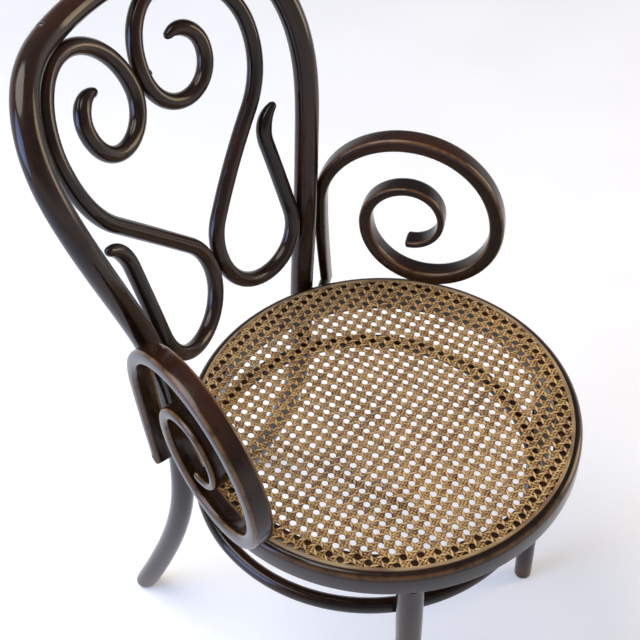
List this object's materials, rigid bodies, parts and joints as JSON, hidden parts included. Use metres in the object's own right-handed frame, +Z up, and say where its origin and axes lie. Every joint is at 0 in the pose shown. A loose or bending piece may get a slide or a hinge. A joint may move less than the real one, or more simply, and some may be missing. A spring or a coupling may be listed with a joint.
{
  "type": "bentwood armchair with cane seat",
  "caption": "Dark bentwood bistro armchair with a round woven cane seat, a hooped back filled with scrolls, spiral arms and a hoop between the legs.",
  "frame": {"origin": "middle of the bounding box, on the floor", "axes": "+Z up from the floor, +X to the sitter's left, +Y to the back of the chair (the front faces -Y)"},
  "size_m": [0.5172, 0.5662, 0.8747],
  "materials": {
    "dark_bentwood": "dark walnut-brown lacquer, semi-gloss, with warm brown rubbed edges",
    "cane": "woven rattan cane, satin, honey to purple-brown with age",
    "reed_spline": "pale rattan reed, satin",
    "screw_steel": "darkened steel"
  },
  "bodies": {
    "root": {"back_hoop": "dark_bentwood", "scroll_left": "dark_bentwood", "scroll_right": "dark_bentwood", "seat_ring": "dark_bentwood", "front_leg_left": "dark_bentwood", "front_leg_right": "dark_bentwood", "leg_hoop": "dark_bentwood", "arm_left": "dark_bentwood", "arm_right": "dark_bentwood", "arm_rear_spacers": "dark_bentwood", "cane_webbing": "cane", "cane_spline": "reed_spline", "scroll_stile_screws": "screw_steel", "scroll_crown_screws": "screw_steel", "scroll_pair_screws": "screw_steel", "leg_hoop_rear_screws": "screw_steel", "leg_hoop_front_screws": "screw_steel", "arm_rear_screws": "screw_steel", "arm_front_screws": "screw_steel", "rear_leg_coach_screws": "screw_steel", "rear_leg_washers": "screw_steel"}
  },
  "joints": []
}
